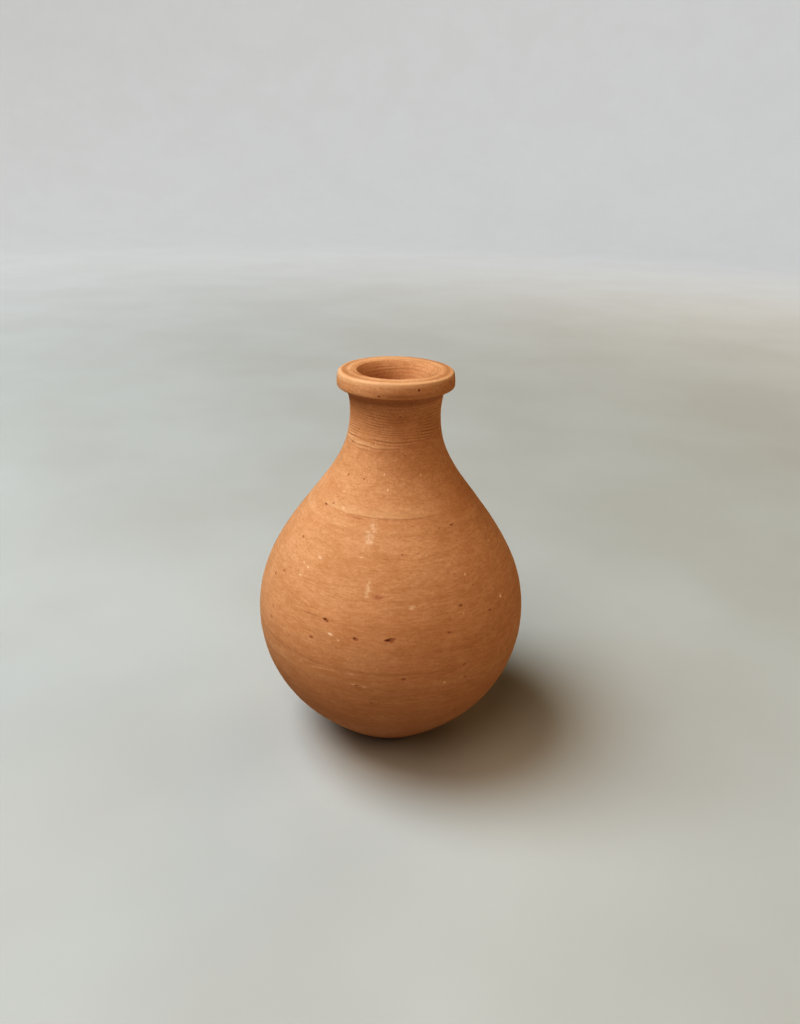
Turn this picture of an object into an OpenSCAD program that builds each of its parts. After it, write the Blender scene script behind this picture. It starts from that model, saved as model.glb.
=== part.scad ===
// Wheel-thrown earthenware bud vase: one hollow fired wall, open at the mouth.
// Millimetres, +Z up, origin at the centre of the foot on the table.

/* [Whole vase] */
// Height from the table to the top of the lip
vase_h = 120; // [110:0.5:132]
// Thickness of the thrown wall
wall_t = 4; // [3:0.1:5]
// Thickness of the floor at the middle
floor_t = 6; // [4:0.1:8]

/* [Foot and belly] */
// Diameter of the flat foot
foot_d = 26; // [24:0.2:27]
// Diameter of the belly at its widest
belly_d = 83; // [80:0.2:86]
// Height of the widest ring of the belly
belly_z = 44; // [43:0.5:45]

/* [Shoulder and neck] */
// Radius where the shoulder turns from bulging to hollow
shoulder_r = 24.6; // [23:0.1:26]
// Drop from the top of the lip to that turn
shoulder_drop = 38.4; // [36:0.1:40]
// Diameter of the neck at its narrowest
neck_d = 26.2; // [24.8:0.1:27.5]
// Drop from the top of the lip to the narrowest ring
neck_drop = 13; // [12:0.1:15]

/* [Lip and throat] */
// Diameter over the rolled lip
lip_d = 33.8; // [32:0.1:36]
// Height of the rolled lip
lip_h = 6.2; // [5.8:0.1:7.5]
// Diameter of the mouth where the funnel starts
mouth_d = 22.8; // [21.6:0.1:24]
// Diameter of the straight throat, which takes a stem or a cork
throat_d = 17.4; // [15:0.1:18]
// Length of the straight throat
throat_len = 11; // [8:0.5:12]

/* [Hidden] */

// Segments round the axis, and along each arc or curve of the outline
round_fn = 96;
arc_steps = 12;
curve_steps = 10;
lip_steps = 8;

// Radii of the driving diameters
foot_r = foot_d / 2;
belly_r = belly_d / 2;
neck_r = neck_d / 2;
lip_r = lip_d / 2;
mouth_r = mouth_d / 2;
throat_r = throat_d / 2;

// Belly arc: from this angle below its widest ring to this angle above it
belly_below = 40;
belly_above = 25;
belly_c = [0, belly_z];

// Foot: radius of its worn edge
foot_round = 0.9;

// Lower wall: a wider arc, tangent to the belly arc, that ends at the foot
foot_edge = [foot_r, 0];
lower_n = [cos(belly_below), -sin(belly_below)];
foot_v = foot_edge - belly_c;
lower_gain = (foot_v * foot_v - belly_r * belly_r) / (2 * (belly_r - foot_v * lower_n));
lower_r = belly_r + lower_gain;
lower_c = belly_c - lower_gain * lower_n;
foot_a = atan2(foot_edge[1] - lower_c[1], foot_edge[0] - lower_c[0]);

// Shoulder: the turn, how far it leans from upright, and its curve handles
shoulder_z = vase_h - shoulder_drop;
shoulder_lean = 37.2;
shoulder_dir = [-sin(shoulder_lean), cos(shoulder_lean)];
shoulder_out = [cos(shoulder_lean), sin(shoulder_lean)];
shoulder_p = [shoulder_r, shoulder_z];
shoulder_pull = 8;
neck_z = vase_h - neck_drop;
neck_p = [neck_r, neck_z];
neck_pull_low = 11;
neck_pull_high = 10;

// Lip: hollow under it, its crisp lower edge, its side, and the fall of its top to the mouth
up = [0, 1];
inward = [-1, 0];
lip_under_out = 1;
lip_side_share = 0.5;
lip_top_round = 2;
lip_under_p = [neck_r + lip_under_out, vase_h - lip_h];
lip_side_p = [lip_r, vase_h - lip_side_share * lip_h];
lip_top_p = [lip_r - lip_top_round, vase_h];
lip_under_lean = 42;
lip_under_dir = [cos(lip_under_lean), sin(lip_under_lean)];
lip_hollow_pull_low = 3.4;
lip_hollow_pull_high = 0.8;
lip_corner_pull_low = 1.3 * (lip_r - neck_r - lip_under_out);
lip_corner_pull_high = 1.9;
lip_roll_pull_low = 1.8;
lip_roll_pull_high = 1.2;
mouth_fall = 0.1;
mouth_p = [mouth_r, vase_h - mouth_fall];

// Inside of the mouth: a funnel from the lip down to the straight throat
funnel_drop = 7.5;
funnel_lean = 50;
funnel_dir = [-cos(funnel_lean), -sin(funnel_lean)];
throat_top_p = [throat_r, vase_h - funnel_drop];
throat_low_p = [throat_r, vase_h - funnel_drop - throat_len];
funnel_lip_pull = 1.7;
funnel_low_pull = 3.2;

// Inside of the belly: the outer arcs moved in by the wall
inner_turn_p = shoulder_p - wall_t * shoulder_out;
inner_neck_pull_low = 9;
inner_neck_pull_high = 8;
inner_lower_r = lower_r - wall_t;
floor_corner_rise = 2.6;
floor_corner_run = 6;
floor_corner_z = floor_t + floor_corner_rise;
floor_corner_a = asin((floor_corner_z - lower_c[1]) / inner_lower_r);
floor_corner_p = lower_c + inner_lower_r * [cos(floor_corner_a), sin(floor_corner_a)];
floor_flat_r = floor_corner_p[0] - floor_corner_run;
floor_pull = 3;
floor_corner_dir = [-sin(floor_corner_a), cos(floor_corner_a)];

// Points along an arc of radius r about c, from angle a0 to a1, both ends in
function arc(c, r, a0, a1, n) =
    [for (i = [0 : n]) c + r * [cos(a0 + (a1 - a0) * i / n), sin(a0 + (a1 - a0) * i / n)]];

// Points along a cubic curve from p to q, leaving along u and arriving along v
function blend(p, u, q, v, n) =
    [for (i = [1 : n]) bezier(p, p + u, q - v, q, i / n)];

function bezier(a, b, c, d, t) =
    pow(1 - t, 3) * a + 3 * t * pow(1 - t, 2) * b + 3 * t * t * (1 - t) * c + pow(t, 3) * d;

// Points of a list from index i0 on
function from(list, i0) = [for (i = [i0 : len(list) - 1]) list[i]];

// Point on the lower wall where the worn edge of the foot ends
foot_round_a = foot_a + 2 * foot_round / lower_r * 180 / PI;
foot_top_p = lower_c + lower_r * [cos(foot_round_a), sin(foot_round_a)];
foot_flat_p = [foot_r - foot_round, 0];

// Outside, from the middle of the foot up and over the lip to the mouth
outer_path = concat(
    [[0, 0], foot_flat_p],
    blend(foot_flat_p, [foot_round, 0], foot_top_p,
        foot_round * [-sin(foot_round_a), cos(foot_round_a)], lip_steps / 2),
    from(arc(lower_c, lower_r, foot_round_a, -belly_below, arc_steps), 1),
    from(arc(belly_c, belly_r, -belly_below, belly_above, 2 * arc_steps), 1),
    blend(belly_c + belly_r * [cos(belly_above), sin(belly_above)],
        shoulder_pull * [-sin(belly_above), cos(belly_above)],
        shoulder_p, shoulder_pull * shoulder_dir, curve_steps),
    blend(shoulder_p, neck_pull_low * shoulder_dir, neck_p, neck_pull_high * up, curve_steps),
    blend(neck_p, lip_hollow_pull_low * up,
        lip_under_p, lip_hollow_pull_high * lip_under_dir, lip_steps),
    blend(lip_under_p, lip_corner_pull_low * lip_under_dir,
        lip_side_p, lip_corner_pull_high * up, lip_steps),
    blend(lip_side_p, lip_roll_pull_low * up,
        lip_top_p, lip_roll_pull_high * inward, lip_steps),
    [mouth_p]);

// Inside, from the mouth down the throat and the belly to the floor
inner_path = concat(
    blend(mouth_p, funnel_lip_pull * funnel_dir, throat_top_p, -funnel_low_pull * up, lip_steps),
    [throat_low_p],
    blend(throat_low_p, -inner_neck_pull_high * up,
        inner_turn_p, -inner_neck_pull_low * shoulder_dir, curve_steps),
    blend(inner_turn_p, -shoulder_pull * shoulder_dir,
        belly_c + (belly_r - wall_t) * [cos(belly_above), sin(belly_above)],
        -shoulder_pull * [-sin(belly_above), cos(belly_above)], curve_steps),
    from(arc(belly_c, belly_r - wall_t, belly_above, -belly_below, 2 * arc_steps), 1),
    from(arc(lower_c, inner_lower_r, -belly_below, floor_corner_a, arc_steps), 1),
    blend(floor_corner_p, -floor_pull * floor_corner_dir,
        [floor_flat_r, floor_t], floor_pull * inward, lip_steps / 2),
    [[0, floor_t]]);

// The vase: foot, belly, shoulder, neck and lip are one thrown wall
module vase_body()
    color("#B9703E")
        rotate_extrude($fn = round_fn)
            polygon(concat(outer_path, inner_path));

vase_body();
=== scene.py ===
import math
from typing import NamedTuple

import bmesh
import bpy
import numpy as np
from mathutils import Euler, Matrix, Vector


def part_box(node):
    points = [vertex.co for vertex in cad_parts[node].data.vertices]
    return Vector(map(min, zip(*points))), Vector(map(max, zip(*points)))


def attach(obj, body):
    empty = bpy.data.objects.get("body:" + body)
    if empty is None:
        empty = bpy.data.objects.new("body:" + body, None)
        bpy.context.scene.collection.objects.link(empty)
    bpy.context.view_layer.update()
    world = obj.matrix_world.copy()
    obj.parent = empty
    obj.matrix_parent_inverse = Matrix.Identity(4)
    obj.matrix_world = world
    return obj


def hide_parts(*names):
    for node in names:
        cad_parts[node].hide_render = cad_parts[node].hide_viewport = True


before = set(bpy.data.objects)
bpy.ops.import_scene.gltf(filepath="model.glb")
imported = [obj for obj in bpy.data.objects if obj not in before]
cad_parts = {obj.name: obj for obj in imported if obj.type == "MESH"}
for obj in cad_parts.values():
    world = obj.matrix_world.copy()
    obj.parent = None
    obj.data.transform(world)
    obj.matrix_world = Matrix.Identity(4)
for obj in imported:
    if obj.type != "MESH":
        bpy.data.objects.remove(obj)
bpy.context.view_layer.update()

MM = 0.001
vase_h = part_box("vase_body")[1].z

# Heights of the marks that the potter's hands and tools left, as shares of the vase's height
TRIM_Z = 0.33 * vase_h
BELLY_GROOVE_Z = 0.376 * vase_h
SHOULDER_RING_Z = 0.672 * vase_h
SHOULDER_LINE_Z = 0.696 * vase_h
NECK_RIDGE_Z = 0.839 * vase_h
NECK_TOP_Z = 0.938 * vase_h
LIP_Z = 0.948 * vase_h
LOWER_LIP_Z = 0.962 * vase_h

# The band under the lip that gets painted shade, as shares of the height: where it starts, is full from, is
# full to, and ends
UNDER_LIP_SHADE = (0.935, 0.946, 0.961, 0.9655)

# Pits left by grog that the tool dragged out: azimuth and height of the middle (degrees, mm),
# half length and half width (mm), tilt (degrees), depth (mm)
FRONT_PITS = [
    (0.4, 55.1, 1.6, 0.75, 6, 0.30),
    (-13, 54.7, 0.8, 0.6, -25, 0.26),
    (-26.6, 57.9, 1.25, 0.55, -15, 0.26),
    (-55, 83.3, 0.6, 0.35, -10, 0.20),
    (41, 80.5, 0.8, 0.33, 10, 0.20),
    (8.4, 70.7, 0.45, 0.25, 20, 0.10),
    (9.7, 71.4, 0.35, 0.25, 40, 0.10),
    (32.5, 72.1, 0.4, 0.28, 0, 0.15),
    (40.5, 65.9, 0.4, 0.28, 15, 0.15),
    (-65, 61.7, 0.6, 0.38, 0, 0.18),
    (-28, 92.0, 0.4, 0.28, 0, 0.15),
    (22.5, 118.0, 0.45, 0.4, 0, 0.20),
    (-14.5, 116.3, 0.5, 0.35, -10, 0.18),
    (-12, 40.4, 0.7, 0.28, 0, 0.10),
    (6.5, 75.3, 0.5, 0.16, 0, 0.06),
    (-4, 71.8, 0.45, 0.16, 0, 0.06),
    (-15.5, 71.2, 0.5, 0.16, -15, 0.06),
    (-22, 88.2, 0.25, 0.2, 0, 0.08),
    (-11, 87.2, 0.25, 0.2, 0, 0.08),
    (-44.5, 85.6, 0.3, 0.2, 0, 0.08),
    (34, 24.0, 0.6, 0.3, 0, 0.12),
]

# Rusty smears and thin dark scratches, nearly flat: azimuth and height (degrees, mm),
# half length, half width (mm), tilt (degrees), strength
FRONT_SMEARS = [
    (-5.5, 65.7, 1.7, 0.75, 4, 0.62),
    (-34.0, 58.2, 3.6, 0.16, 1, 0.75),
    (-25.5, 82.9, 2.6, 0.34, 0, 0.60),
    (-24, 65.0, 1.4, 0.18, -4, 0.35),
    (4, 78.5, 1.2, 0.16, 3, 0.35),
    (-19, 76.6, 1.5, 0.16, -2, 0.35),
    (-33, 70.2, 1.0, 0.16, 3, 0.3),
    (24, 58.0, 1.6, 0.2, 5, 0.3),
    (-3, 74.5, 1.3, 0.16, -3, 0.55),
    (14.3, 75.6, 1.1, 0.18, 10, 0.55),
    (27.8, 72.8, 0.9, 0.18, -8, 0.5),
    (31.8, 68.0, 0.8, 0.2, 12, 0.5),
]

# Pale flecks, scuffs and scratches: azimuth and height (degrees, mm), half length, half width (mm),
# tilt (degrees), strength
FRONT_SCUFFS = [
    (-16, 74.4, 1.7, 0.22, 0, 0.8),
    (-27.5, 53.6, 0.6, 0.32, -30, 0.8),
    (-24, 54.6, 1.2, 0.5, -15, 0.9),
    (-20, 53.4, 0.7, 0.34, -45, 0.8),
    (14, 62.0, 1.0, 0.2, 85, 0.7),
    (19, 75.0, 0.8, 0.26, 80, 0.5),
    (-13, 79.8, 4.4, 1.8, 88, 0.44),
    (-10, 67.2, 2.8, 0.8, 85, 0.42),
    (-47.5, 69.2, 0.35, 0.25, 0, 0.8),
    (-38.5, 71.8, 0.5, 0.2, 90, 0.5),
    (-40.5, 47.4, 0.35, 0.25, 0, 0.6),
    (74.5, 80.9, 0.45, 0.25, 20, 0.6),
    (11, 91.8, 0.4, 0.25, 60, 0.5),
    (55.5, 59.4, 0.6, 0.42, 0, 1.3),
    (10, 50.0, 2.6, 0.17, 88, 0.75),
    (50, 45.0, 3.9, 0.17, 92, 0.75),
    (-27, 43.4, 5.0, 0.18, 6, 0.7),
    (-15.5, 44.0, 3.4, 0.18, 1, 0.65),
    (36, 42.6, 1.6, 0.2, 8, 0.8),
    (-6, 76.4, 0.9, 0.16, 4, 0.4),
    (-22, 69.0, 1.1, 0.15, -3, 0.4),
    (1, 68.2, 0.7, 0.16, 8, 0.35),
    (-13.5, 40.7, 1.7, 0.22, -3, 0.9),
    (-9.8, 40.3, 0.6, 0.2, -30, 0.8),
    (29, 47.0, 1.6, 0.2, 8, 0.8),
    (-50, 67.0, 0.5, 0.35, 0, 0.6),
    (-46, 66.0, 0.9, 0.28, -10, 0.6),
    (-37, 43.4, 0.9, 0.4, 60, 0.7),
    (-84, 30.0, 1.8, 0.7, 70, 0.6),
    (9.5, 63.3, 0.7, 0.3, 80, 0.6),
    (-2, 28.6, 0.7, 0.24, 35, 0.6),
    (2, 28.4, 0.4, 0.2, -20, 0.4),
]
BACK_PITS = 16
BACK_SCUFFS = 12
BACK_SMEARS = 10

# Middle of a pit's deep end, in half lengths from the middle of the pit
DEEP_END = -0.35


# ---------------------------------------------------------------- the outline, from the CAD body

def section_corners(node, least_gap=0.05 * MM, least_turn=math.radians(0.2)):
    """Corners (radius, height) of the node's section, from the middle of the foot to that of the floor."""
    solid = bmesh.new()
    solid.from_mesh(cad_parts[node].data)
    bmesh.ops.remove_doubles(solid, verts=solid.verts, dist=1e-6)
    cut = bmesh.ops.bisect_plane(solid, geom=solid.verts[:] + solid.edges[:] + solid.faces[:],
                                 plane_co=(0, 0, 0), plane_no=(0, 1, 0))
    near_axis = 1e-5
    links = {}
    for edge in cut["geom_cut"]:
        if isinstance(edge, bmesh.types.BMEdge):
            a, b = edge.verts
            if a.co.x > near_axis and b.co.x > near_axis:
                links.setdefault(a, []).append(b)
                links.setdefault(b, []).append(a)
    vert = min((v for v in links if len(links[v]) == 1), key=lambda v: v.co.z)
    walk, last = [], None
    while vert:
        walk.append((vert.co.x, vert.co.z))
        last, vert = vert, next((v for v in links[vert] if v is not last), None)
    solid.free()
    walk = np.array([(0, walk[0][1])] + walk + [(0, walk[-1][1])])
    walk = walk[np.concatenate([[True], np.hypot(*np.diff(walk, axis=0).T) > least_gap])]
    legs = np.diff(walk, axis=0)
    heading = np.unwrap(np.arctan2(legs[:, 1], legs[:, 0]))
    turns = np.abs(np.diff(heading)) > least_turn
    return walk[np.concatenate([[True], turns, [True]])]


def ease_corners(corners, sharp=math.radians(30), cuts=((1.3 * MM, 0.45), (0.5 * MM, 0.2))):
    """Cuts each sharp corner back, so that a smooth line turns there and stays straight beside it."""
    eased = [corners[0]]
    for before, corner, after in zip(corners, corners[1:], corners[2:]):
        back, on = before - corner, after - corner
        cosine = -back @ on / (math.hypot(*back) * math.hypot(*on))
        if cosine > math.cos(sharp):
            eased.append(corner)
            continue
        for leg, order in ((back, cuts), (on, cuts[::-1])):
            length = math.hypot(*leg)
            eased += [corner + leg / length * min(cut, share * length) for cut, share in order]
    return np.array(eased + [corners[-1]])


def smooth_line(corners, step):
    """Points every step along a smooth curve through the corners, and their distance along it."""
    knots = np.concatenate([[0], np.cumsum(np.hypot(*np.diff(corners, axis=0).T))])
    slopes = np.gradient(corners, knots, axis=0)
    at = np.linspace(0, knots[-1], int(knots[-1] / step))
    i = np.clip(np.searchsorted(knots, at, side="right") - 1, 0, len(knots) - 2)
    gap = (knots[i + 1] - knots[i])[:, None]
    t = (at - knots[i])[:, None] / gap
    points = ((1 + 2 * t) * (1 - t) ** 2 * corners[i] + t * (1 - t) ** 2 * gap * slopes[i]
              + t * t * (3 - 2 * t) * corners[i + 1] - t * t * (1 - t) * gap * slopes[i + 1])
    return points, at


class Outline:
    """The vase's outline by distance along it: foot, outside, over the lip, inside, floor."""

    def __init__(self, node):
        points, self.along = smooth_line(ease_corners(section_corners(node)), 0.05 * MM)
        self.r, self.z = points.T
        slope = np.gradient(points, self.along, axis=0)
        slope /= np.hypot(*slope.T)[:, None]
        self.out_r, self.out_z = slope[:, 1], -slope[:, 0]
        self.length = self.along[-1]
        self.foot_end = self.along[np.argmax(self.z > 0.2 * MM)]
        self.lip_top = self.along[np.argmax(self.z)]

    def at(self, along):
        """Radius, height and outward direction at these distances."""
        return [np.interp(along, self.along, v) for v in (self.r, self.z, self.out_r, self.out_z)]

    def outside_at(self, height):
        """Distance along the outline where the outside has this height."""
        up = (self.along > self.foot_end) & (self.along < self.lip_top)
        return float(np.interp(height, self.z[up], self.along[up]))


outline = Outline("vase_body")


# ---------------------------------------------------------------- relief of the thrown surface

def ease(x, a, b):
    """0 at a, 1 at b, smooth between them."""
    t = np.clip((x - a) / (b - a), 0, 1)
    return t * t * (3 - 2 * t)


def hump(x, middle, half):
    """1 at the middle, falling smoothly to 0 at half on each side."""
    return np.clip(1 - ((x - middle) / half) ** 2, 0, 1) ** 2


def worn_step(x, proud, hollow, up, down, soft):
    """A tool's edge at x = 0, soft across: proud above it and hollow below it, fading over up and down."""
    above = 0.5 + 0.5 * np.tanh(x / soft)
    return (above * proud * np.exp(-np.clip(x, 0, None) / up)
            - (1 - above) * hollow * np.exp(np.clip(x, None, 0) / down))


def ring_noise(turn, along, cells_round, cell_length, seed):
    """Smooth noise from -1 to 1 over the turned surface; cells_round cells fill one turn and join up."""
    rows = 512
    grid = np.random.default_rng(seed).uniform(-1, 1, (rows, cells_round))
    u, v = turn * cells_round, along / cell_length
    i, j = np.floor(v).astype(int), np.floor(u).astype(int)
    s, t = ease(v - i, 0, 1), ease(u - j, 0, 1)
    corner = lambda a, b: grid[(i + a) % rows, (j + b) % cells_round]
    return ((corner(0, 0) * (1 - t) + corner(0, 1) * t) * (1 - s)
            + (corner(1, 0) * (1 - t) + corner(1, 1) * t) * s)


def round_noise(turn, cells_round, seed):
    """Smooth noise from -1 to 1 that changes round the vase and not along it."""
    return ring_noise(turn, 0 * turn, cells_round, MM, seed)


def waves(distance, pitch):
    """A sine wave from -1 to 1, one every pitch."""
    return np.sin(2 * math.pi * distance / pitch)


def front_angle(turn):
    """Azimuth in degrees from -180 to 180, 0 at the front."""
    return (turn * 360 + 180) % 360 - 180


def between(angle, a, b, soft):
    """1 from azimuth a to b, fading over soft degrees outside them."""
    return ease(angle, a - soft, a) * (1 - ease(angle, b, b + soft))


def broad_relief(turn, along):
    """How the whole thrown wall wanders from a true round."""
    slow = 0.09 * MM * ring_noise(turn, along, 4, 45 * MM, 1)
    return slow + 0.035 * MM * ring_noise(turn, along, 5, 9 * MM, 2)


def finger_relief(turn, along):
    """Low spiral ridges from the potter's fingers, and the unevenness of the clay between them."""
    spiral_pitch = 90 * MM
    ridges = 0.022 * MM * ring_noise(turn + along / spiral_pitch, along, 3, 2.8 * MM, 3)
    return ridges + 0.010 * MM * ring_noise(turn, along, 14, 1.1 * MM, 4)


def neck_grooves(turn, along, z, pitch=0.83 * MM, depth=0.070 * MM):
    """Fine grooves round the neck, which run together and part."""
    drift = 0.8 * MM * ring_noise(turn, along, 7, 5 * MM, 5)
    phase = 2 * math.pi * (along + drift) / pitch + 2.0 * ring_noise(turn, along, 13, 1.8 * MM, 6)
    uneven = depth * (0.60 + 0.55 * ring_noise(turn, along, 17, 1.6 * MM, 7))
    on_neck = ease(z, NECK_RIDGE_Z, NECK_RIDGE_Z + 1.5 * MM) * (1 - ease(z, NECK_TOP_Z, LIP_Z))
    return on_neck * uneven * (np.sin(phase) + 0.3 * np.sin(2 * phase))


def neck_ridge(turn, z):
    """The edge that the collaring rib left: a wavy, broken line, tripled at the front left."""
    waver = 0.40 * MM * round_noise(turn, 9, 8) + 0.22 * MM * round_noise(turn, 31, 9)
    broken = 0.7 + 0.5 * round_noise(turn, 26, 10)
    at_left = between(front_angle(turn), -75, -20, 30)
    out = 0
    # Each line: its rise, how it follows the waver, its strength, and how much of that is left elsewhere
    for rise, swing, strength, elsewhere in ((0, 1.0, 1.0, 0.35),
                                             (1.6 * MM, -0.8, 0.55, 0.1),
                                             (-1.1 * MM, 0.6, 0.55, 0.0)):
        edge = z - NECK_RIDGE_Z - rise - swing * waver
        share = broken * (elsewhere + (1 - elsewhere) * at_left) * strength
        out = out + share * worn_step(edge, proud=0.17 * MM, hollow=0.02 * MM,
                                      up=0.7 * MM, down=0.5 * MM, soft=0.13 * MM)
    return out


def shoulder_waver(turn):
    """How far the shoulder's line runs up and down."""
    return 0.16 * MM * round_noise(turn, 7, 11)


def shoulder_marks(turn, z):
    """One fine cut line that fades to the right, with a softer ring under it."""
    waver = shoulder_waver(turn)
    at_front = between(front_angle(turn), -48, 14, 22)
    strength = np.clip(0.12 + 0.85 * at_front + 0.12 * round_noise(turn, 8, 12), 0.05, 1)
    line = worn_step(z - SHOULDER_LINE_Z - waver, proud=0.07 * MM, hollow=0.06 * MM,
                     up=2.0 * MM, down=0.7 * MM, soft=0.16 * MM)
    return strength * line + 0.03 * MM * hump(z - waver, SHOULDER_RING_Z, half=1.4 * MM)


def belly_grooves(turn, z, depth=0.035 * MM, half=0.9 * MM):
    """Three shallow grooves round the widest part, which waver twice as far as the shoulder's line."""
    waver = 2 * shoulder_waver(turn)
    fade = 0.6 + 0.5 * round_noise(turn, 6, 13)
    out = 0
    for share, rise in ((1.0, 0), (0.6, -1.9 * MM), (0.5, 6 * MM)):
        out = out - share * fade * depth * hump(z - waver, BELLY_GROOVE_Z + rise, half)
    return out


def trimming(turn, along, z):
    """The edge where trimming began, and the scraped wall below it."""
    waver = 0.7 * MM * round_noise(turn, 6, 14)
    edge = worn_step(z - TRIM_Z - waver, proud=0.035 * MM, hollow=0.035 * MM,
                     up=3 * MM, down=3 * MM, soft=0.4 * MM)
    scraped = 1 - ease(z, TRIM_Z - 3 * MM, TRIM_Z)
    return edge + scraped * 0.022 * MM * ring_noise(turn, along, 4, 1.7 * MM, 15)


def wall_relief(turn, along, z):
    """Outside of the belly, shoulder and neck."""
    return (broad_relief(turn, along) + finger_relief(turn, along) + neck_grooves(turn, along, z)
            + neck_ridge(turn, z) + shoulder_marks(turn, z) + belly_grooves(turn, z)
            + trimming(turn, along, z))


def lip_relief(turn, along):
    """The rolled lip: a crisp lower edge, a pressed ridge on its shoulder, and a dished, ringed top."""
    from_edge = along - outline.outside_at(LOWER_LIP_Z)
    from_top = along - outline.lip_top
    from_ridge = from_top + 2.0 * MM - 0.2 * MM * round_noise(turn, 8, 23)
    out = 0.06 * MM * ring_noise(turn, along, 6, 5 * MM, 21)
    out += 0.035 * MM * ring_noise(turn, along, 13, 0.7 * MM, 22)
    # Each swelling or dip: where it is measured from, its middle, its half width and its height
    for distance, middle, half, height in ((from_edge, 0.3 * MM, 0.7 * MM, 0.10 * MM),
                                           (from_ridge, 0, 1.3 * MM, 0.15 * MM),
                                           (from_ridge, 0, 0.6 * MM, 0.12 * MM),
                                           (from_top, -0.4 * MM, 1.2 * MM, -0.08 * MM),
                                           (from_top, 1.2 * MM, 0.6 * MM, 0.05 * MM),
                                           (from_top, 2.4 * MM, 1.0 * MM, -0.05 * MM)):
        out += height * hump(distance, middle, half)
    rings = waves(from_top + 0.3 * MM * ring_noise(turn, along, 5, 3 * MM, 24), pitch=0.9 * MM)
    return out + 0.025 * MM * rings * ease(from_top, -0.5 * MM, 0.5 * MM)


def inside_relief(turn, along):
    """Throwing rings down the mouth and throat, and broader ones in the belly."""
    inward = along - outline.lip_top
    in_mouth = ease(inward, 1 * MM, 3 * MM)
    in_belly = ease(inward, 20 * MM, 34 * MM)
    fine = 0.055 * MM * waves(inward + 0.4 * MM * ring_noise(turn, along, 5, 4 * MM, 31), pitch=1.05 * MM)
    fine *= 0.8 + 0.5 * ring_noise(turn, along, 7, 3 * MM, 32)
    broad = 0.28 * MM * np.sin(2 * math.pi * (inward / (8 * MM) + turn))
    out = in_mouth * (1 - in_belly) * fine + in_belly * broad
    return out + 0.06 * MM * ring_noise(turn, along, 5, 6 * MM, 33)


def foot_relief(azimuth, r):
    """Underside: a level ring to stand on, hollow inside it, with the arcs that the cutting wire left."""
    x, y = r * np.sin(azimuth), -r * np.cos(azimuth)
    arcs = waves(np.hypot(x + 9 * MM, y - 15 * MM), pitch=1.9 * MM)
    hollow = 1 - ease(r, 8.6 * MM, 10.6 * MM)
    lift = 0.02 * MM * ease(r, 0, 3 * MM)
    return -hollow * (0.35 * MM + 0.05 * MM * arcs) - lift


# ---------------------------------------------------------------- pits, smears and scuffs

class Mark(NamedTuple):
    """A mark on the outside: degrees and mm, as in the lists above; weight is its depth or strength."""
    azimuth: float
    height: float
    half_length: float
    half_width: float
    tilt: float
    weight: float


def seeded_marks(count, seed, half_length, half_width, tilt, weight):
    """Marks for the back and sides, in the same form as the front's, from a fixed seed."""
    first_azimuth, spread = 82, 196
    whole_wall, belly = (18, 90), (48, 78)
    rng = np.random.default_rng(seed)
    marks = []
    for k in range(count):
        azimuth = first_azimuth + spread * (k + rng.uniform(0.1, 0.9)) / count
        height = rng.choice([rng.uniform(*whole_wall), rng.uniform(*belly)])
        marks.append((azimuth, height, rng.uniform(*half_length), rng.uniform(*half_width),
                      rng.uniform(*tilt), rng.uniform(*weight)))
    return marks


def with_back(front_marks, *back_marks):
    """The front's marks and those drawn for the rest of the vase."""
    return [Mark(*values) for values in front_marks + seeded_marks(*back_marks)]


pits = with_back(FRONT_PITS, BACK_PITS, 41, (0.4, 1.1), (0.25, 0.5), (-20, 20), (0.10, 0.26))
scuffs = with_back(FRONT_SCUFFS, BACK_SCUFFS, 42, (0.4, 2.0), (0.15, 0.3), (-60, 60), (0.4, 0.8))
smears = with_back(FRONT_SMEARS, BACK_SMEARS, 43, (0.8, 2.2), (0.16, 0.5), (-6, 6), (0.3, 0.6))


def place_in(mark, azimuth, along):
    """Where points of the outside lie in a mark's own frame: along it and across it, in mm."""
    tilt = math.radians(mark.tilt)
    middle = outline.outside_at(mark.height * MM)
    radius = outline.at(middle)[0]
    turn = (azimuth - math.radians(mark.azimuth) + math.pi) % (2 * math.pi) - math.pi
    x, y = turn * radius / MM, (along - middle) / MM
    return x * math.cos(tilt) + y * math.sin(tilt), y * math.cos(tilt) - x * math.sin(tilt)


def oval(mark, azimuth, along, size=1.0, shift=0.0):
    """Distance from a mark's middle, where 1 is its ragged edge; shift moves the middle along it."""
    u, v = place_in(mark, azimuth, along)
    ragged = 0.24 * ring_noise((azimuth / (2 * math.pi)) % 1, along, 420, 0.55 * MM, 51)
    return np.hypot((u - shift * mark.half_length) / (size * mark.half_length),
                    v / (size * mark.half_width)) + ragged


def pit_relief(pit, azimuth, along):
    """One pit: deepest at its left end, a shallow drag to the right, and a thin raised rim."""
    q = oval(pit, azimuth, along)
    drag = np.clip(place_in(pit, azimuth, along)[0] / pit.half_length, -1, 1)
    bowl = np.clip(1 - q * q, 0, 1) ** 1.5 * (0.62 - 0.38 * drag)
    core = np.clip(1 - oval(pit, azimuth, along, 0.5, DEEP_END) ** 2, 0, 1)
    rim = np.exp(-((q - 1.12) / 0.22) ** 2)
    return pit.weight * MM * (0.10 * rim - 0.7 * bowl - 0.3 * core)


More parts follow.
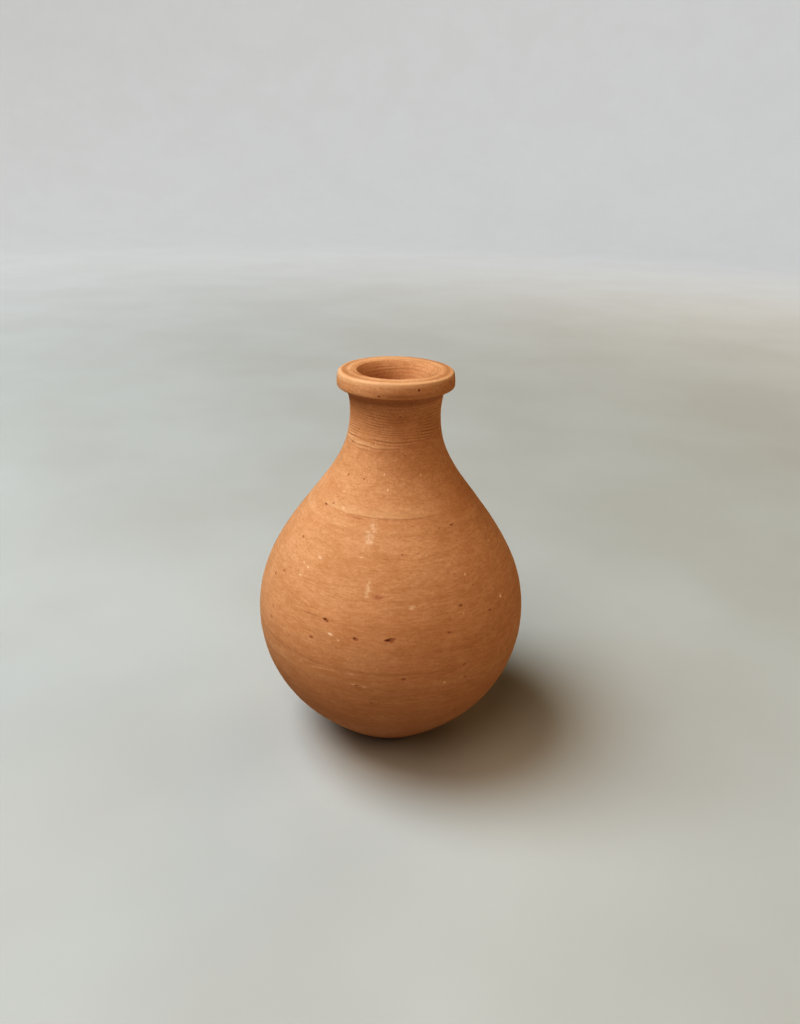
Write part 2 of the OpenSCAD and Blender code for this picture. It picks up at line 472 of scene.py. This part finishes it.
def mark_masks(azimuth, along):
    """How much each point is stained by a pit, lies in its deep end, or is smeared or scuffed (0 is not)."""
    stain, core, smear, pale = (np.zeros(len(along)) for _ in range(4))
    on_outside = along < outline.lip_top

    def cover(mark, full, none, size=1.0, shift=0.0):
        """1 on a mark out to full of its half size, and 0 from none of it on."""
        return on_outside * (1 - ease(oval(mark, azimuth, along, size, shift), full, none))

    for pit in pits:
        weight = min(1.0, 0.5 + pit.weight)
        stain = np.maximum(stain, weight * cover(pit, 0.4, 1.4, size=1.1))
        core = np.maximum(core, weight * cover(pit, 0.3, 1.3, size=0.55, shift=DEEP_END))
    for mark in smears:
        smear = np.maximum(smear, mark.weight * cover(mark, 0.2, 1.3))
    for mark in scuffs:
        pale = np.maximum(pale, mark.weight * cover(mark, 0.2, 1.3))
    return {"stain": stain, "core": core, "smear": smear, "pale": pale}


# ---------------------------------------------------------------- the vase's mesh

# Corners of each ring of the mesh
SEGMENTS = 172

# Relief above or below the broad surface at which the clay takes its full proud or hollow colour
FULLY_PROUD = 0.09 * MM


def ring_places():
    """Distances along the outline of the mesh's rings: close where the surface turns or is grooved."""
    a, z = outline.along, outline.z
    outside = a < outline.lip_top
    gaps = [
        (a < outline.foot_end - 1.5 * MM, 0.6 * MM),
        (a < outline.foot_end + 1.5 * MM, 0.3 * MM),
        (outside & (z < SHOULDER_RING_Z - 2 * MM), 0.75 * MM),
        (outside & (z < SHOULDER_LINE_Z + 1.5 * MM), 0.2 * MM),
        (outside & (z < NECK_RIDGE_Z - 2 * MM), 0.5 * MM),
        (outside & (z < LIP_Z), 0.17 * MM),
        (a < outline.lip_top + 6 * MM, 0.27 * MM),
        (a < outline.lip_top + 24 * MM, 0.4 * MM),
    ]
    gap = np.select([where for where, _ in gaps], [size for _, size in gaps], default=2.2 * MM)
    count = np.concatenate([[0], np.cumsum(np.diff(a) / gap[1:])])
    return np.interp(np.linspace(0, count[-1], int(count[-1]) + 1), count, a)


def lathe(places):
    """A closed bmesh of plain rings at these distances, with the distance kept on each vertex."""
    r, z = outline.at(places)[:2]
    bm = bmesh.new()
    along = bm.verts.layers.float.new("along")
    rings = []
    for k in range(1, len(places) - 1):
        ring = []
        for j in range(SEGMENTS):
            azimuth = 2 * math.pi * (j + 0.5) / SEGMENTS
            v = bm.verts.new((r[k] * math.sin(azimuth), -r[k] * math.cos(azimuth), z[k]))
            v[along] = places[k]
            ring.append(v)
        rings.append(ring)
    ends = []
    for k in (0, -1):
        v = bm.verts.new((0, 0, z[k]))
        v[along] = places[k]
        ends.append(v)
    for low, high in zip(rings, rings[1:]):
        for j in range(SEGMENTS):
            i = (j + 1) % SEGMENTS
            bm.faces.new((low[j], low[i], high[i], high[j]))
    for j in range(SEGMENTS):
        i = (j + 1) % SEGMENTS
        bm.faces.new((ends[0], rings[0][i], rings[0][j]))
        bm.faces.new((ends[1], rings[-1][j], rings[-1][i]))
    return bm


def surface_places(bm):
    """Azimuth and distance along the outline of every vertex."""
    layer = bm.verts.layers.float["along"]
    azimuth = np.array([math.atan2(v.co.x, -v.co.y) for v in bm.verts])
    return azimuth, np.array([v[layer] for v in bm.verts])


def refine_marks(bm, cuts=3, margin=(1.2, 0.8)):
    """Splits the faces round the marks so that their shapes hold; margin is along and across, in mm."""
    bm.verts.index_update()
    azimuth, along = surface_places(bm)
    near = np.zeros(len(along), bool)
    for mark in pits + smears + scuffs:
        u, v = place_in(mark, azimuth, along)
        near |= (np.abs(u) < mark.half_length + margin[0]) & (np.abs(v) < mark.half_width + margin[1])
    near &= along < outline.lip_top
    edges = [e for e in bm.edges if all(near[v.index] for v in e.verts)]
    bmesh.ops.subdivide_edges(bm, edges=edges, cuts=cuts, use_grid_fill=True)
    bmesh.ops.triangulate(bm, faces=[f for f in bm.faces if len(f.verts) > 4])


def shape(azimuth, along):
    """Radius and height of the finished surface, and how hollow or proud it is (-1 to 1)."""
    r, z, out_r, out_z = outline.at(along)
    turn = (azimuth / (2 * math.pi)) % 1
    on_foot = along < outline.foot_end - 0.4 * MM
    on_outside = along < outline.lip_top
    inside = along > outline.lip_top + 2 * MM
    past_lip = ease(along, outline.lip_top + 4 * MM, outline.lip_top + 6 * MM)
    on_lip = ease(z, LIP_Z - 1.2 * MM, LIP_Z) * (1 - past_lip)
    above_foot = ease(along, outline.foot_end, outline.foot_end + 2.5 * MM)
    outer = wall_relief(turn, along, z) * (1 - on_lip) * above_foot
    inner = inside_relief(turn, along) * (1 - on_lip)
    out = np.where(inside, inner, outer) + on_lip * lip_relief(turn, along)
    out = np.where(on_foot, foot_relief(azimuth, r), out)
    for pit in pits:
        out = out + pit_relief(pit, azimuth, along) * on_outside
    broad = np.where(inside | on_foot, 0, broad_relief(turn, along) * (1 - on_lip))
    proud = np.clip((out - broad) / FULLY_PROUD, -1, 1)
    # The lip was left a little lower on the left
    settle = 0.15 * MM * (1 - np.sin(azimuth)) * ease(z, LIP_Z - 3 * MM, LIP_Z)
    z_new = np.maximum(z + out * out_z - settle, 0)
    return r + out * out_r, z_new, proud


def build_vase():
    """The vase as one mesh object, which holds what its material needs to know at each point."""
    bm = lathe(ring_places())
    refine_marks(bm)
    azimuth, along = surface_places(bm)
    r, z, proud = shape(azimuth, along)
    # The neck was collared a little off the axis, to the left
    lean = -0.08 * MM * ease(z, SHOULDER_LINE_Z, NECK_RIDGE_Z)
    places = np.stack([r * np.sin(azimuth) + lean, -r * np.cos(azimuth), z], axis=1)
    mesh = bpy.data.meshes.new("thrown_vase")
    bm.to_mesh(mesh)
    bm.free()
    mesh.vertices.foreach_set("co", places.ravel())
    for name, values in {"proud": proud, **mark_masks(azimuth, along)}.items():
        mesh.attributes.new(name, "FLOAT", "POINT").data.foreach_set("value", values.astype(np.float32))
    mesh.update()
    mesh.shade_smooth()
    vase = bpy.data.objects.new("thrown_vase", mesh)
    bpy.context.scene.collection.objects.link(vase)
    return vase


# ---------------------------------------------------------------- shader nodes

class Tree:
    """A material's node tree, with one short call for each kind of node used here."""

    def __init__(self, name):
        self.material = bpy.data.materials.new(name)
        self.material.use_nodes = True
        self.tree = self.material.node_tree
        self.shader = self.tree.nodes["Principled BSDF"]

    def put(self, socket, value):
        if isinstance(value, bpy.types.NodeSocket):
            self.tree.links.new(value, socket)
        else:
            socket.default_value = value

    def node(self, kind, inputs=(), **settings):
        made = self.tree.nodes.new(kind)
        for name, value in settings.items():
            setattr(made, name, value)
        for name, value in dict(inputs).items():
            self.put(made.inputs[name], value)
        return made

    def math(self, operation, a, b, clamp=False):
        return self.node("ShaderNodeMath", {0: a, 1: b}, operation=operation, use_clamp=clamp).outputs[0]

    def vector(self, operation, a, b=(0, 0, 0)):
        return self.node("ShaderNodeVectorMath", {0: a, 1: b}, operation=operation).outputs["Vector"]

    def noise(self, at, scale, detail=2.0, roughness=0.5, distortion=0.0):
        made = self.node("ShaderNodeTexNoise", {"Vector": at, "Scale": scale, "Detail": detail,
                                                "Roughness": roughness, "Distortion": distortion})
        return made.outputs["Fac"]

    def total(self, *weighted):
        """Sum of values, each given with its weight."""
        scaled = [self.math("MULTIPLY", value, weight) for value, weight in weighted]
        out = scaled[0]
        for value in scaled[1:]:
            out = self.math("ADD", out, value)
        return out

    def span(self, value, a, b, low=0.0, high=1.0):
        """value from a to b becomes low to high, smoothly and clamped."""
        made = self.node("ShaderNodeMapRange", {"Value": value, "From Min": a, "From Max": b,
                                                "To Min": low, "To Max": high},
                         interpolation_type="SMOOTHSTEP")
        return made.outputs[0]

    def mix(self, factor, a, b):
        made = self.node("ShaderNodeMix", data_type="RGBA", clamp_factor=True)
        self.put(made.inputs["Factor"], factor)
        # The colour sockets of a Mix node: A, B and the result
        self.put(made.inputs[6], a)
        self.put(made.inputs[7], b)
        return made.outputs[2]

    def set(self, **sockets):
        for name, value in sockets.items():
            self.put(self.shader.inputs[name.replace("_", " ")], value)


def colour(code):
    """Linear colour from a hex code."""
    parts = [int(code[k:k + 2], 16) / 255 for k in (0, 2, 4)]
    return tuple(c / 12.92 if c <= 0.04045 else ((c + 0.055) / 1.055) ** 2.4 for c in parts) + (1.0,)


# ---------------------------------------------------------------- fired clay

class ClayTree(Tree):
    """Nodes for the clay, with what the mesh holds and with coordinates that follow the wheel."""

    def __init__(self, name):
        super().__init__(name)
        self.at = self.node("ShaderNodeTexCoord").outputs["Object"]
        self.along = self.painted("along")
        self.proud = self.painted("proud")
        self.heading = self.vector("NORMALIZE", self.vector("MULTIPLY", self.at, (1, 1, 0)))
        self.grain = self.noise(self.at, 1500, 3, 0.6)
        self.fine = self.noise(self.at, 4200, 2, 0.6)

    def painted(self, name):
        """A value that the mesh holds at each point."""
        return self.node("ShaderNodeAttribute", attribute_name=name).outputs["Fac"]

    def turned(self, round_scale, along_scale):
        """Coordinates that follow the wheel: around the axis and along the outline."""
        lift = self.node("ShaderNodeCombineXYZ", {"Z": self.math("MULTIPLY", self.along, along_scale)})
        across = self.vector("MULTIPLY", self.heading, (round_scale,) * 3)
        return self.vector("ADD", across, lift.outputs[0])

    def flecks(self, at, picked, reach):
        """Small flecks, one in each of the few cells that are picked."""
        cells = self.node("ShaderNodeTexVoronoi", {"Vector": at, "Scale": 1.0, "Randomness": 1.0})
        draw = self.node("ShaderNodeSeparateColor", {0: cells.outputs["Color"]}).outputs[0]
        size = self.span(cells.outputs["Distance"], *reach)
        return self.math("MULTIPLY", self.span(draw, *picked), size)

    def tint(self, base, amount, code):
        """The base colour with this much of another over it."""
        return self.mix(amount, base, colour(code))


def thrown_clay(t):
    """Bands, streaks and blotches from throwing and firing, with the grain of the clay."""
    blotch = t.noise(t.at, 38, 3, 0.55, 0.3)
    small_blotch = t.noise(t.at, 170, 3, 0.6)
    band = t.noise(t.turned(1.4, 260), 1, 3, 0.6, 0.3)
    streak = t.noise(t.turned(7, 950), 1, 3, 0.6, 0.5)
    fine_streak = t.noise(t.turned(17, 2200), 1, 2, 0.6, 0.5)
    shade = t.total((blotch, 0.08), (band, 0.16), (streak, 0.16), (fine_streak, 0.24), (small_blotch, 0.14))
    ramp = t.node("ShaderNodeValToRGB", {"Fac": t.span(shade, 0.29, 0.49)})
    stops = ramp.color_ramp.elements
    stops[0].position, stops[0].color = 0.0, colour("C08C62")
    stops[1].position, stops[1].color = 1.0, colour("D1A07A")
    stops.new(0.5).color = colour("C8966E")
    warm = t.span(t.noise(t.at, 70, 2, 0.5, 0.5), 0.45, 0.7, 0.0, 0.22)
    clay = t.tint(ramp.outputs["Color"], warm, "C98F64")
    clay = t.tint(clay, t.span(t.grain, 0.40, 0.75, 0.0, 0.24), "AE7A50")
    return t.tint(clay, t.span(t.fine, 0.50, 0.8, 0.0, 0.24), "DDB594")


def rubbed_and_shaded_clay(t, clay):
    """Lines that stand proud are paler, partly rubbed wear and partly painted highlight, and hollows get
    painted shade.
    """
    # Proud lines paler: partly rubbed wear, partly painted highlight
    clay = t.tint(clay, t.span(t.proud, 0.1, 1.0, 0.0, 0.34), "E0B892")
    # Hollows darker: painted shade
    return t.tint(clay, t.span(t.proud, -0.1, -1.0, 0.0, 0.46), "9C6840")


def speckled_clay(t, clay, speck):
    """Reddish iron specks, and pale flecks where grog shows."""
    clay = t.tint(clay, t.math("MULTIPLY", speck, 0.50), "8A4E30")
    fleck = t.flecks(t.turned(13, 330), (0.955, 0.97), (0.22, 0.06))
    return t.tint(clay, t.math("MULTIPLY", fleck, 0.42), "F0D0B0")


def marked_clay(t, clay, rag, core):
    """Rusty smears and stained pits, then pale scuffs and dust over them."""
    stain = t.span(t.math("ADD", t.painted("stain"), rag), 0.2, 0.75)
    smear = t.math("MULTIPLY", t.painted("smear"), t.span(rag, -0.2, 0.15, 0.5, 1.0))
    clay = t.tint(clay, smear, "A3684A")
    clay = t.tint(clay, t.math("MULTIPLY", stain, 0.55), "945A3E")
    clay = t.tint(clay, t.math("MULTIPLY", core, 0.55), "562C1E")
    pale = t.painted("pale")
    patchy = t.span(t.noise(t.turned(22, 900), 1, 3, 0.6, 0.4), 0.40, 0.60, 0.08, 1.0)
    scuff = t.math("MULTIPLY", pale, t.math("MAXIMUM", patchy, t.span(pale, 0.5, 0.9)))
    dust = t.math("MULTIPLY", t.span(t.noise(t.turned(12, 640), 1, 4, 0.7, 0.8), 0.62, 0.80, 0.0, 0.22),
                  t.span(t.noise(t.at, 60, 2), 0.45, 0.65))
    return t.tint(clay, t.math("MAXIMUM", t.math("MULTIPLY", scuff, 0.75), dust), "F0D6BC")


def zoned_clay(t, clay):
    """Painted shade in the recess under the lip, and the wall low down darker towards the bottom, partly the
    scraped wall's duller colour and partly painted shade.
    """
    lower, low_full, high_full, upper = (outline.outside_at(share * vase_h) for share in UNDER_LIP_SHADE)
    painted_under_lip_shade = t.math("MULTIPLY", t.span(t.along, lower, low_full), t.span(t.along, upper, high_full))
    # Painted shade: the recess under the lip is darkened in its colour
    clay = t.tint(clay, t.math("MULTIPLY", painted_under_lip_shade, 0.28), "95592A")
    height = t.node("ShaderNodeSeparateXYZ", {0: t.at}).outputs["Z"]
    # Darker towards the bottom: partly the scraped wall's duller colour, partly painted shade
    low = t.span(height, TRIM_Z + 12 * MM, TRIM_Z - 18 * MM)
    return t.tint(clay, t.math("MULTIPLY", low, 0.42), "A16F45")


def earthenware():
    """Bare fired earthenware: throwing bands, blotches, grain, dark specks, pits and pale scuffs."""
    t = ClayTree("bare_earthenware")
    speck = t.flecks(t.turned(9.5, 420), (0.93, 0.95), (0.24, 0.09))
    rag = t.math("MULTIPLY", t.math("SUBTRACT", t.noise(t.at, 1100, 2), 0.5), 0.7)
    core = t.span(t.math("ADD", t.painted("core"), rag), 0.35, 0.75)

    clay = rubbed_and_shaded_clay(t, thrown_clay(t))
    clay = speckled_clay(t, clay, speck)
    clay = zoned_clay(t, marked_clay(t, clay, rag, core))

    rough = t.math("ADD", t.span(t.grain, 0.3, 0.7, 0.76, 0.88), t.math("MULTIPLY", core, 0.1), clamp=True)
    rough = t.math("SUBTRACT", rough, t.span(t.proud, 0.2, 1.0, 0.0, 0.06))

    lines = t.noise(t.turned(2.2, 1500), 1, 2, 0.5, 0.3)
    surface = t.total((lines, 0.030 * MM), (t.grain, 0.020 * MM), (t.fine, 0.008 * MM),
                      (core, -0.10 * MM), (speck, -0.03 * MM))
    bump = t.node("ShaderNodeBump", {"Height": surface, "Distance": 1.0, "Strength": 1.0})
    t.set(Base_Color=clay, Roughness=rough, Normal=bump.outputs[0], Specular_IOR_Level=0.35)
    return t.material


# ---------------------------------------------------------------- stage, light, camera

def sweep_mesh(floor_r=1.5, bend_r=0.7, top=2.2, count=96):
    """A flat round floor that bends up into a wall at its edge."""
    bend = [math.radians(a) for a in range(0, 91, 6)]
    line = [(0.2, 0), (0.7, 0)]
    line += [(floor_r + bend_r * math.sin(a), bend_r * (1 - math.cos(a))) for a in bend]
    line.append((floor_r + bend_r, top))
    spokes = [(math.cos(2 * math.pi * j / count), math.sin(2 * math.pi * j / count)) for j in range(count)]
    bm = bmesh.new()
    middle = bm.verts.new((0, 0, 0))
    rings = [[bm.verts.new((r * x, r * y, z)) for x, y in spokes] for r, z in line]
    for j in range(count):
        i = (j + 1) % count
        bm.faces.new((middle, rings[0][j], rings[0][i]))
        for low, high in zip(rings, rings[1:]):
            bm.faces.new((low[j], high[j], high[i], low[i]))
    mesh = bpy.data.meshes.new("sweep")
    bm.to_mesh(mesh)
    bm.free()
    mesh.shade_smooth()
    return mesh


def pale_paper():
    """Plain pale paper for the floor and the backdrop."""
    t = Tree("pale_sweep")
    at = t.node("ShaderNodeTexCoord").outputs["Object"]
    tone = t.span(t.noise(at, 9, 3), 0.3, 0.7)
    t.set(Base_Color=t.mix(tone, colour("B7AFA5"), colour("BBB4AB")), Roughness=0.85)
    # The far part is evened out for the eye only, so that the backdrop stays pale and casts no light
    flat = t.vector("MULTIPLY", at, (1, 1, 0))
    away = t.node("ShaderNodeVectorMath", {0: flat}, operation="LENGTH").outputs["Value"]
    seen = t.node("ShaderNodeLightPath").outputs["Is Camera Ray"]
    evened = t.math("MULTIPLY", t.span(away, 0.15, 1.5, 0.0, 0.36), seen)
    t.set(Emission_Color=colour("F4F6F8"), Emission_Strength=evened)
    return t.material


def pale_sweep():
    """The plain pale floor that curves up into a round backdrop."""
    sweep = bpy.data.objects.new("sweep", sweep_mesh())
    bpy.context.scene.collection.objects.link(sweep)
    sweep.data.materials.append(pale_paper())


def soft_light(name, azimuth, elevation, power, tint, size=0.8, distance=1.2, aim=Vector((0, 0, 0.06))):
    """A round softbox, azimuth 0 in front of the vase and 90 at its right."""
    lamp = bpy.data.lights.new(name, "AREA")
    lamp.shape, lamp.size, lamp.energy, lamp.color = "DISK", size, power, tint
    across, up = math.radians(azimuth), math.radians(elevation)
    away = Vector((math.sin(across) * math.cos(up), -math.cos(across) * math.cos(up), math.sin(up)))
    holder = bpy.data.objects.new(name, lamp)
    holder.location = aim + distance * away
    holder.rotation_euler = away.to_track_quat("Z", "Y").to_euler()
    holder.visible_camera = False
    bpy.context.scene.collection.objects.link(holder)


def light_scene():
    """A cool key from the upper left, a fill above the camera, and weak warm light from low in front,
    from the right and from behind on the right."""
    cool, neutral, warm = (0.69, 0.85, 1.0), (1.0, 0.98, 0.97), (1.0, 0.86, 0.58)
    soft_light("key_left", -90, 60, 12.5, cool)
    soft_light("fill_front", -30, 50, 4.5, neutral)
    soft_light("low_front", 5, 32, 0.7, warm)
    soft_light("low_right", 90, 14, 2.5, warm)
    soft_light("back_right", 150, 40, 1.4, warm)
    world = bpy.data.worlds.new("room")
    world.use_nodes = True
    world.node_tree.nodes["Background"].inputs["Strength"].default_value = 0.0
    bpy.context.scene.world = world
    settings = bpy.context.scene.view_settings
    settings.view_transform, settings.look, settings.gamma = "Standard", "Very High Contrast", 0.9


def set_camera():
    """A phone's wide view from a seated eye: close, looking down, held very slightly rolled."""
    lens, sensor, nearest = 28.125, 36.0, 0.01
    pitch, roll = math.radians(24.0), math.radians(1.6)
    place = (0.0021, -0.2234, 0.1749)
    data = bpy.data.cameras.new("camera")
    data.lens, data.sensor_width, data.clip_start = lens, sensor, nearest
    camera = bpy.data.objects.new("camera", data)
    level = math.radians(90)
    turn = Euler((level - pitch, 0, 0)).to_matrix() @ Euler((0, 0, roll)).to_matrix()
    camera.matrix_world = Matrix.Translation(place) @ turn.to_4x4()
    bpy.context.scene.collection.objects.link(camera)
    bpy.context.scene.camera = camera


vase = build_vase()
vase.data.materials.append(earthenware())
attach(vase, "root")
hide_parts("vase_body")
pale_sweep()
light_scene()
set_camera()
